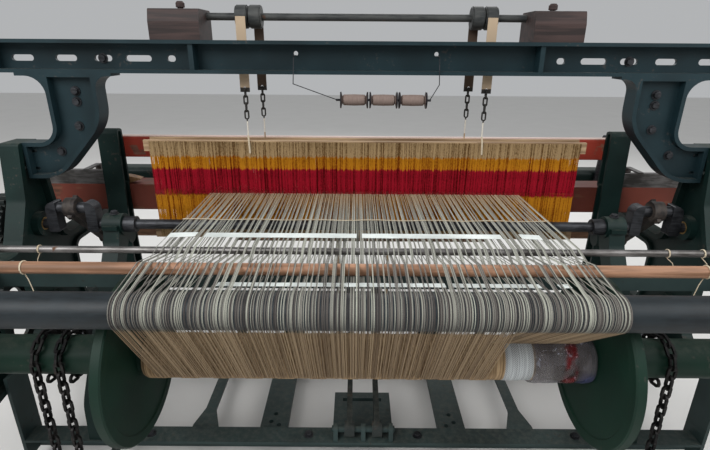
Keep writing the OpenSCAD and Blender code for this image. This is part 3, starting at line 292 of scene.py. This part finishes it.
finishes = {
    "enamelGreen": enamel("enamelGreen", (0.004, 0.015, 0.013), (0.045, 0.04, 0.033), 0.60, 0.22),
    "enamelRail": enamel("enamelRail", (0.008, 0.021, 0.026), (0.06, 0.056, 0.052), 0.60, 0.3),
    "enamelFloor": enamel("enamelFloor", (0.024, 0.040, 0.039), (0.035, 0.032, 0.026), 0.60, 0.28),
    "enamelFlange": enamel("enamelFlange", (0.0025, 0.017, 0.010), (0.04, 0.04, 0.033), 0.61, 0.15),
    "castIron": enamel("castIron", (0.018, 0.023, 0.022), (0.06, 0.045, 0.035), 0.58, 0.3),
    "oilySteel": steel("oilySteel", (0.050, 0.052, 0.058), (0.010, 0.011, 0.013), (0.035, 0.020, 0.014),
                       metal=0.5),
    "wornSteel": steel("wornSteel", (0.22, 0.21, 0.205), (0.085, 0.08, 0.075), rough=0.36),
    "whipPipe": steel("whipPipe", (0.012, 0.018, 0.022), (0.006, 0.009, 0.011), (0.05, 0.03, 0.02), rough=0.4,
                      rusty=0.68, metal=0.15),
    "chainIron": steel("chainIron", (0.035, 0.033, 0.032), (0.008, 0.008, 0.009), (0.05, 0.025, 0.015),
                       rough=0.45),
    "bronze": steel("bronze", (0.55, 0.36, 0.13), (0.25, 0.14, 0.05), (0.08, 0.05, 0.02)),
    "blockWood": wood("blockWood", (0.050, 0.030, 0.027), (0.020, 0.013, 0.012)),
    "rodWood": wood("rodWood", (0.40, 0.215, 0.13), (0.20, 0.105, 0.06), rough=0.42),
    "stickWood": wood("stickWood", (0.30, 0.17, 0.08), (0.13, 0.07, 0.035), (1, 1, 0.06)),
    "armWood": wood("armWood", (0.050, 0.040, 0.034), (0.018, 0.015, 0.014), (1, 0.06, 1)),
    "sleyWood": wood("sleyWood", (0.17, 0.06, 0.035), (0.07, 0.03, 0.018), paint=(0.15, 0.035, 0.022)),
    "railRed": wood("railRed", (0.26, 0.11, 0.07), (0.12, 0.045, 0.03), paint=(0.34, 0.040, 0.022),
                    edge=(1.106, 1.112)),
    "rollerIron": steel("rollerIron", (0.060, 0.062, 0.060), (0.022, 0.025, 0.026), rough=0.5, metal=0.3),
    "cardWhite": enamel("cardWhite", (0.60, 0.64, 0.62), (0.44, 0.45, 0.42), 0.62, 0.05, 0.8),
    "warpCotton": material("warpCotton", warpCotton, Roughness=0.9, Specular_IOR_Level=0.12),
    "clothCotton": yarn("clothCotton", (0.50, 0.41, 0.29), (0.33, 0.26, 0.17), 500, (1, 1, 1)),
    "healdCotton": material("healdCotton", healdCotton, Roughness=0.9, Specular_IOR_Level=0.1),
    "beamCotton": material("beamCotton", beamCotton, Roughness=0.9, Specular_IOR_Level=0.2),
    "spoolYarn": material("spoolYarn", spoolFinish, Specular_IOR_Level=0.25),
    "rigMix": material("rigMix", rigFinish, Specular_IOR_Level=0.25),
    "rigCord": yarn("rigCord", (0.66, 0.58, 0.44), (0.40, 0.32, 0.22), 500, (1, 1, 1)),
}
print("materials made")

# Which CAD nodes take which finish
nodeFinish = {
    "enamelGreen": ["side_frame_left", "side_frame_right", "breast_beam", "front_cross_rail",
                    "crank_bearings", "rocker_pedestals", "whip_brackets", "sley_swords", "handwheel"],
    "enamelRail": ["top_rail", "arch_bracket_left", "arch_bracket_right"],
    "enamelFloor": ["back_cross_rail", "floor_bars", "back_tie_bar"],
    "enamelFlange": ["beam_flanges", "beam_barrel"],
    "castIron": ["crank_gear", "tappet_gear", "tappet_shaft", "treadle_back", "treadle_front",
                 "weight_lever_left", "weight_lever_right"],
    "oilySteel": ["crankshaft", "rocking_shaft", "stop_handle", "spool_hanger"],
    "wornSteel": ["steel_lease_rod", "fast_pulley", "loose_pulley", "take_up_roller", "shuttle_boxes",
                  "reed"],
    "whipPipe": ["whip_roll"], "chainIron": ["let_off_chains"], "bronze": ["shaft_bushes"],
    "blockWood": ["roller_blocks"], "rodWood": ["wooden_lease_rod", "cloth_roller"],
    "stickWood": ["picking_stick_left", "picking_stick_right", "shuttle"],
    "armWood": ["crank_arm_left", "crank_arm_right"],
    "sleyWood": ["sley_beam"], "railRed": ["hand_rail"], "rollerIron": ["heald_roller"],
    "beamCotton": ["yarn_roll"], "spoolYarn": ["yarn_spool_1", "yarn_spool_2", "yarn_spool_3"],
    "rigMix": ["heald_back_rig", "heald_front_rig"],
    "warpCotton": ["warp_sheet"], "clothCotton": ["cloth"], "healdCotton": ["heald_back", "heald_front"],
}
for finish, names in nodeFinish.items():
    for name in names:
        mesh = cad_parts[name].data
        mesh.materials.clear()
        mesh.materials.append(finishes[finish])


# Links a finished mesh as a piece on a body, with its finish in a material slot
def piece(name, mesh, finish, body):
    made = bpy.data.objects.new(name, mesh)
    bpy.context.scene.collection.objects.link(made)
    mesh.materials.append(finishes[finish])
    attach(made, body)
    return made


# Threads, cords and wires: one mesh of round tubes that follow the given paths
def tubes(name, paths, radius, sides=4):
    curve = bpy.data.curves.new(name, "CURVE")
    curve.dimensions = "3D"
    curve.bevel_depth = radius
    curve.bevel_resolution = max(0, sides // 4 - 1)
    curve.use_fill_caps = True
    for path in paths:
        line = curve.splines.new("POLY")
        line.points.add(len(path) - 1)
        for point, at in zip(line.points, path):
            point.co = (*at, 1)
        line.use_smooth = False
    holder = bpy.data.objects.new(name, curve)
    mesh = bpy.data.meshes.new_from_object(holder)
    bpy.data.objects.remove(holder)
    return mesh


# Warp: threads from the beam over the whip roll, crossed between the lease rods, to the fell.
# They lie in groups of so many, and places in the loom's depth are pairs of y and z.
warp = {"groups": (2, 3, 3, 4, 5, 7, 9), "pitch": 0.00125, "gap": (0.0009, 0.0040), "stray": 0.0003,
        "width": 1.2, "radius": 0.0006, "seed": 4,
        "beam": (-0.447, 0.608), "beamRadius": 0.0667, "wrapped": 0.345, "wrapAngle": radians(110),
        "whip": (-0.647, 0.876), "whipRadius": 0.0452, "whipSteps": 9,
        "rods": ((-0.512, 0.016), (-0.395, 0.010)), "lift": 0.0009, "slope": 1.04,
        "heald": (0.1492, 0.9285), "fell": 0.464}


def onCircle(middle, radius, angle):
    return (middle[0] + radius * cos(angle), middle[1] + radius * sin(angle))


# Where a thread that goes to a point leaves the whip roll: over its top, or with -1 from below
def leaveAngle(target, turn=1):
    away = (target[0] - warp["whip"][0], target[1] - warp["whip"][1])
    return atan2(away[1], away[0]) + turn * acos(warp["whipRadius"] / hypot(*away))


# Height of the warp's middle, between its two crossed layers
def warpHeight(y):
    start = onCircle(warp["whip"], warp["whipRadius"], leaveAngle(warp["heald"]))
    return start[1] + (warp["heald"][1] - start[1]) * (y - start[0]) / (warp["heald"][0] - start[0])


def threadPath(x, side):
    span = (warp["whip"][0] - warp["beam"][0], warp["whip"][1] - warp["beam"][1])
    near = atan2(span[1], span[0]) + acos((warp["beamRadius"] - warp["whipRadius"]) / hypot(*span))
    passes = [(y, warpHeight(y) + side * turn * (radius + warp["lift"]) * warp["slope"])
              for (y, radius), turn in zip(warp["rods"], (1, -1))]
    leave = leaveAngle(passes[0])
    line = [onCircle(warp["beam"], warp["beamRadius"], near)]
    if x > warp["wrapped"]:  # these leave the roll's top, under the film
        line = [onCircle(warp["beam"], warp["beamRadius"], warp["wrapAngle"])]
        near = leaveAngle(line[0], -1) + 2 * pi
    steps = warp["whipSteps"]
    line += [onCircle(warp["whip"], warp["whipRadius"], near + (leave - near) * i / steps)
             for i in range(steps + 1)]
    line += passes + [warp["heald"], (warp["fell"], warp["heald"][1])]
    return [(x, y, z) for y, z in line]


# Height of the threads that pass over the second lease rod
def threadTop(y):
    rodY, rodRadius = warp["rods"][1]
    high = warpHeight(rodY) + (rodRadius + warp["lift"]) * warp["slope"]
    return high + (warp["heald"][1] - high) * (y - rodY) / (warp["heald"][0] - rodY) + warp["radius"]


# Height of the threads that pass under the first lease rod
def threadLow(y):
    rodY, rodRadius = warp["rods"][0]
    low = warpHeight(rodY) - (rodRadius + warp["lift"]) * warp["slope"]
    start = onCircle(warp["whip"], warp["whipRadius"], leaveAngle((rodY, low)))
    return start[1] + (low - start[1]) * (y - start[0]) / (rodY - start[0]) + warp["radius"]


chance = Random(warp["seed"])
threads = []
x, side = -warp["width"] / 2, 1
while x < warp["width"] / 2:
    for _ in range(chance.choice(warp["groups"])):
        threads.append(threadPath(x + chance.uniform(-warp["stray"], warp["stray"]), side))
        x += warp["pitch"]
    x += chance.uniform(*warp["gap"])
    side = -side
warpMesh = tubes("warp_threads", threads, warp["radius"])
warpPiece = piece("warp_threads", warpMesh, "warpCotton", "loom_frame")
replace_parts(warpPiece, "warp_sheet")
print("warp threads made,", len(threads))

# White card strips on the warp, some on top and some between its layers: left end, right end, skew
card = {"upper": ((-0.592, -0.511, 0.008), (-0.485, -0.030, 0.0), (-0.014, 0.405, 0.0),
                  (0.462, 0.522, -0.007)),
        "lower": ((-0.375, 0.190, 0.002), (0.205, 0.425, -0.001), (0.470, 0.500, 0.004)),
        "upperY": -0.306, "lowerY": -0.583, "upperWidth": 0.036, "lowerWidth": 0.026,
        "thickness": 0.0006, "curl": 0.0005, "clear": 0.0002, "bend": 0.02, "seed": 9}
strips = bmesh.new()
curls = Random(card["seed"])


def layStrip(left, right, skew, middle, width, height):
    long = right - left
    spot = Matrix.Translation(((left + right) / 2, middle, 0)) @ Matrix.Diagonal((long, width, 1, 1))
    laid = bmesh.ops.create_grid(strips, x_segments=max(2, int(long / card["bend"])), y_segments=3, size=0.5,
                                 matrix=spot)
    for vert in laid["verts"]:
        vert.co.y += skew * ((vert.co.x - left) / long - 0.5) + curls.uniform(-1, 1) * card["curl"]
        vert.co.z = height(vert.co.y) + card["clear"] + curls.uniform(0, 1) * card["curl"]


for strip in card["upper"]:
    layStrip(*strip, card["upperY"], card["upperWidth"], threadTop)
for strip in card["lower"]:
    layStrip(*strip, card["lowerY"], card["lowerWidth"], threadLow)
bmesh.ops.solidify(strips, geom=strips.faces[:], thickness=-card["thickness"])
bmesh.ops.recalc_face_normals(strips, faces=strips.faces[:])
stripMesh = bpy.data.meshes.new("card_strips")
strips.to_mesh(stripMesh)
strips.free()
stripPiece = piece("card_strips", stripMesh, "cardWhite", "loom_frame")
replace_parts(stripPiece, "warp_lath")
print("card strips laid")

# Cloth: one tight web from the fell over the breast beam and take-up roller to the cloth roller.
# Each arc is its middle, radius, first and last angle, and steps.
web = {"width": 1.2, "columns": 48, "thickness": 0.0009, "start": [(0.464, 0.9286), (0.600, 0.9189)],
       "arcs": [((0.666, 0.894), 0.0249, 90, 0, 9), ((0.645, 0.775), 0.0469, 0, -8.4, 3),
                ((0.610, 0.600), 0.0559, -8.4, -128.4, 24)]}


def weaveCloth():
    line = list(web["start"])
    for middle, radius, first, last, steps in web["arcs"]:
        line += [onCircle(middle, radius, radians(first + (last - first) * i / steps))
                 for i in range(steps + 1)]
    shell = bmesh.new()
    bmesh.ops.create_grid(shell, x_segments=web["columns"], y_segments=len(line) - 1, size=0.5)
    for vert in shell.verts:
        y, z = line[round((vert.co.y + 0.5) * (len(line) - 1))]
        vert.co = (vert.co.x * web["width"], y, z)
    mesh = bpy.data.meshes.new("woven_cloth")
    shell.to_mesh(mesh)
    shell.free()
    return mesh, sum(hypot(b[0] - a[0], b[1] - a[1]) for a, b in zip(line, line[1:]))


clothMesh, clothLength = weaveCloth()
cloth = piece("woven_cloth", clothMesh, "clothCotton", "loom_frame")
cloth.modifiers.new("thickness", "SOLIDIFY").thickness = web["thickness"]
cloth.modifiers["thickness"].offset = 0
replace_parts(cloth, "cloth")
print("cloth woven", round(clothLength, 3))

# Knitted healds: cords from stave to stave, each opening into an eye at the warp
heald = {"pitch": 0.005, "width": 1.62, "radius": 0.0015, "back": 0.1492, "front": 0.2308,
         "heights": (0.746, 0.80, 0.86, 0.912, 0.928, 0.944, 1.0, 1.06, 1.129),  # the middle one is the eye
         "eye": 0.0022, "neck": 0.0006, "lean": 0.0009, "twist": 0.0008}


def healdCords(y, seed):
    wander = Random(seed)
    paths = []
    for i in range(int(heald["width"] / heald["pitch"]) + 1):
        x = -heald["width"] / 2 + i * heald["pitch"]
        lean = [wander.uniform(-heald["lean"], heald["lean"]) for _ in range(3)]
        drift = [0, lean[0], lean[1], heald["neck"], heald["eye"], heald["neck"], lean[2], lean[0], 0]
        for hand in (1, -1):
            paths.append([(x + hand * (heald["twist"] + abs(d)) + d * 0.3,
                           y + hand * heald["twist"] * (j % 2 * 2 - 1), z)
                          for j, (z, d) in enumerate(zip(heald["heights"], drift))])
    return paths


for name, node, seed in (("back", "heald_back", 7), ("front", "heald_front", 8)):
    cords = tubes("knitted_" + node, healdCords(heald[name], seed), heald["radius"])
    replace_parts(piece("knitted_" + node, cords, "healdCotton", node), node)
print("healds knitted")

# Reed: wires between the CAD dents
reed = {"pitch": 0.004, "half": 0.836, "y": 0.36, "low": 0.914, "high": 1.021, "wire": 0.0005}
wires = [[(-reed["half"] + i * reed["pitch"], reed["y"], reed["low"]),
          (-reed["half"] + i * reed["pitch"], reed["y"], reed["high"])]
         for i in range(int(2 * reed["half"] / reed["pitch"]) + 1)]
piece("reed_wires", tubes("reed_wires", wires, reed["wire"]), "wornSteel", "sley")
print("reed wired")

# Clear film wrapped over the bare end of the yarn, crumpled and drawn in at its edges
film = {"from": 0.474, "to": 0.652, "radius": 0.0695, "beam": (0, -0.447, 0.608), "thickness": 0.0003,
        "crumple": 0.0022, "folds": 7, "tuck": 0.0022, "hem": 0.012, "rings": 30, "seed": 12}


def wrapFilm():
    shell = bmesh.new()
    bmesh.ops.create_circle(shell, segments=72, radius=film["radius"])
    bmesh.ops.rotate(shell, matrix=Matrix.Rotation(pi / 2, 3, "Y"), verts=shell.verts)
    bmesh.ops.translate(shell, vec=(film["from"], 0, 0), verts=shell.verts)
    edges = shell.edges[:]
    for _ in range(film["rings"]):
        grown = bmesh.ops.extrude_edge_only(shell, edges=edges)["geom"]
        edges = [g for g in grown if isinstance(g, bmesh.types.BMEdge)]
        bmesh.ops.translate(shell, vec=((film["to"] - film["from"]) / film["rings"], 0, 0),
                            verts=[g for g in grown if isinstance(g, bmesh.types.BMVert)])
    crumple = Random(film["seed"])
    lines = [(crumple.uniform(1, 9), crumple.uniform(20, 90), crumple.uniform(0, 6))
             for _ in range(film["folds"])]
    for vert in shell.verts:
        turn = atan2(vert.co.z, vert.co.y)
        fold = sum(abs(sin(turn * int(a) + vert.co.x * b + c)) for a, b, c in lines) / len(lines)
        edge = min(1, (vert.co.x - film["from"]) / film["hem"], (film["to"] - vert.co.x) / film["hem"])
        grow = 1 + (fold * film["crumple"] * 2 - film["tuck"] * (1 - max(0, edge))) / film["radius"]
        vert.co.y, vert.co.z = vert.co.y * grow, vert.co.z * grow
    bmesh.ops.translate(shell, vec=film["beam"], verts=shell.verts)
    bmesh.ops.recalc_face_normals(shell, faces=shell.faces)
    mesh = bpy.data.meshes.new("film_wrap")
    shell.to_mesh(mesh)
    shell.free()
    for polygon in mesh.polygons:
        polygon.use_smooth = True
    return mesh


# The film is smoky, with a red stain, a painted bluish sheen at its end and painted white glints on its
# creases
def filmFinish(place):
    across = place.part(0)
    smokeAndBlueSheen = place.noise(9, 3).step(0.4, 0.6).blend((0.07, 0.065, 0.07), (0.17, 0.16, 0.17))
    # Painted reflection: a bluish sheen low on the film's end
    smokeAndBlueSheen = (across.step(0.60, 0.625) * (1 - place.part(2).step(0.57, 0.62))).blend(smokeAndBlueSheen, (0.10, 0.11, 0.24))
    stain = across.step(0.556, 0.570) * (1 - across.step(0.592, 0.604)) * place.noise(22, 4).step(0.40, 0.54)
    glint = place.noise(75, 4, (1, 1, 0.5)).step(0.60, 0.70) * 0.55
    base = glint.blend(stain.blend(smokeAndBlueSheen, (0.17, 0.020, 0.022)), (0.36, 0.36, 0.42))
    return {"Base Color": base, "Alpha": glint * 0.3 + stain * 0.35 + 0.42,
            "bump": (place.noise(60, 3), 0.4, 0.001)}


finishes["clearFilm"] = material("clearFilm", filmFinish, Roughness=0.16)
wrap = piece("film_wrap", wrapFilm(), "clearFilm", "warp_beam")
wrap.modifiers.new("thickness", "SOLIDIFY").thickness = film["thickness"]
print("film wrapped")


# Hexagon bolts on washers: one mesh from a list of places and directions
bolt = {"across": 0.022, "high": 0.009, "washer": 0.003, "chamfer": 0.0012,
        "arch": ((1.020, 1.314), (1.022, 1.278), (1.030, 1.192), (1.112, 1.100)), "archY": 0.099,
        "floorX": (0.20, 0.78)}


def bolts(name, places, finish, body):
    joined = bmesh.new()
    across, high, washer = bolt["across"], bolt["high"], bolt["washer"]
    for at, way in places:
        turned = Matrix.Translation(at) @ Vector(way).to_track_quat("Z", "Y").to_matrix().to_4x4()
        bmesh.ops.create_cone(joined, cap_ends=True, segments=20, radius1=across * 0.78,
                              radius2=across * 0.76, depth=washer,
                              matrix=turned @ Matrix.Translation((0, 0, washer / 2)))
        head = bmesh.ops.create_cone(joined, cap_ends=True, segments=6, radius1=across * 0.577,
                                     radius2=across * 0.577, depth=high,
                                     matrix=turned @ Matrix.Translation((0, 0, washer + high / 2)))["verts"]
        rims = {edge for vert in head for edge in vert.link_edges}
        bmesh.ops.bevel(joined, geom=list(rims), offset=bolt["chamfer"], segments=2, profile=0.5,
                        affect="EDGES", material=-1)
    mesh = bpy.data.meshes.new(name)
    joined.to_mesh(mesh)
    joined.free()
    piece(name, mesh, finish, body)


boltPlaces = []
for hand in (-1, 1):
    boltPlaces += [((hand * x, bolt["archY"], z), (0, -1, 0)) for x, z in bolt["arch"]]
    boltPlaces += [((hand * 0.918, 0.128, 1.423), (0, -1, 0)), ((hand * 0.962, 0.100, 0.858), (0, 0, 1))]
    boltPlaces += [((hand * x, -0.258, 0.125), (0, 0, 1)) for x in bolt["floorX"]]
    boltPlaces.append(((hand * 1.27, -0.647, 0.906), (0, 0, 1)))
bolts("frame_bolts", boltPlaces, "oilySteel", "loom_frame")
print("bolts driven")

# Twine: lashings at the lease rods' ends, ties with a loose end each, and the cord laid over the warp
twine = {"radius": 0.0013, "lie": 0.0016, "stray": 0.0006, "turns": 5, "spread": 0.014, "seed": 21,
         "ends": (-1.262, -1.236, 1.205, 1.236, 1.262), "tieTurns": 2, "tieSpread": 0.004,
         "ties": ((0.85, 0.034), (0.88, -0.018), (0.95, 0.030), (-0.90, 0.016), (-0.93, -0.014)),
         "crossingY": -0.165, "crossingWave": 0.004}


def lashing(x, y, radius, turns, spread):
    loose = Random(twine["seed"] + int(x * 100))
    reach, steps = radius + twine["lie"], turns * 12
    return [(x + spread * i / steps + loose.uniform(-twine["stray"], twine["stray"]),
             y + reach * cos(i * pi / 6), warpHeight(y) + reach * sin(i * pi / 6)) for i in range(steps + 1)]


lashings = []
for x in twine["ends"]:
    for y, radius in warp["rods"]:
        lashings.append(lashing(x, y, radius, twine["turns"], twine["spread"]))
for x, lean in twine["ties"]:
    y, radius = warp["rods"][round(x * 100) % 2]
    z = warpHeight(y) - radius - 0.0014
    lashings.append(lashing(x, y, radius, twine["tieTurns"], twine["tieSpread"]))
    lashings.append([(x, y, z), (x + lean * 0.6, y - 0.004, z - 0.018), (x + lean, y - 0.005, z - 0.052)])
lashings.append([(-0.60 + i * 0.04, twine["crossingY"] + twine["crossingWave"] * sin(i * 1.3),
                  threadTop(twine["crossingY"]) + 0.0014) for i in range(31)])
twineMesh = tubes("twine_lashings", lashings, twine["radius"], 8)
piece("twine_lashings", twineMesh, "rigCord", "loom_frame")

# Tassels: the knotted ends of the cords that lift the back heald
tassel = {"radius": 0.0036, "across": (-0.435, 0.435),
          "path": ((0, 0.1470, 1.153), (0.002, 0.1420, 1.132), (0.004, 0.1405, 1.088))}
tassels = [[(x + aside, y, z) for aside, y, z in tassel["path"]] for x in tassel["across"]]
tasselMesh = tubes("cord_tassels", tassels, tassel["radius"], 8)
piece("cord_tassels", tasselMesh, "rigCord", "heald_back")
print("twine tied")


# Floor, backdrop and light
def paleFinish(place):
    return {"Base Color": place.noise(2.5, 3).blend((0.66, 0.65, 0.63), (0.72, 0.71, 0.69))}


ground = bmesh.new()
bmesh.ops.create_grid(ground, x_segments=1, y_segments=1, size=14)
groundMesh = bpy.data.meshes.new("floor")
ground.to_mesh(groundMesh)
ground.free()
groundMesh.materials.append(material("paleFloor", paleFinish, Roughness=0.75))
floorPiece = bpy.data.objects.new("floor", groundMesh)
floorPiece.location.z = -0.001
bpy.context.scene.collection.objects.link(floorPiece)

# Each lamp: where it hangs, its power and its size. All of them look at the loom's middle.
lamps = {"key": ((-2.6, -3.4, 4.2), 215, 3.2), "fill": ((3.4, -2.0, 3.4), 110, 3.4),
         "back": ((0.6, 4.2, 4.0), 140, 3.6)}
studio = {"colour": (0.92, 0.94, 0.96, 1), "strength": 0.48, "aim": (0, 0, 0.8)}
for name, (at, power, size) in lamps.items():
    light = bpy.data.lights.new(name, "AREA")
    light.energy = power
    light.size = size
    lamp = bpy.data.objects.new(name, light)
    gaze = (Vector(studio["aim"]) - Vector(at)).to_track_quat("-Z", "Y")
    lamp.matrix_world = Matrix.Translation(at) @ gaze.to_matrix().to_4x4()
    bpy.context.scene.collection.objects.link(lamp)
world = bpy.data.worlds.new("studio")
world.use_nodes = True
sky = world.node_tree.nodes["Background"]
sky.inputs["Color"].default_value = studio["colour"]
sky.inputs["Strength"].default_value = studio["strength"]
bpy.context.scene.world = world
print("scene lit")
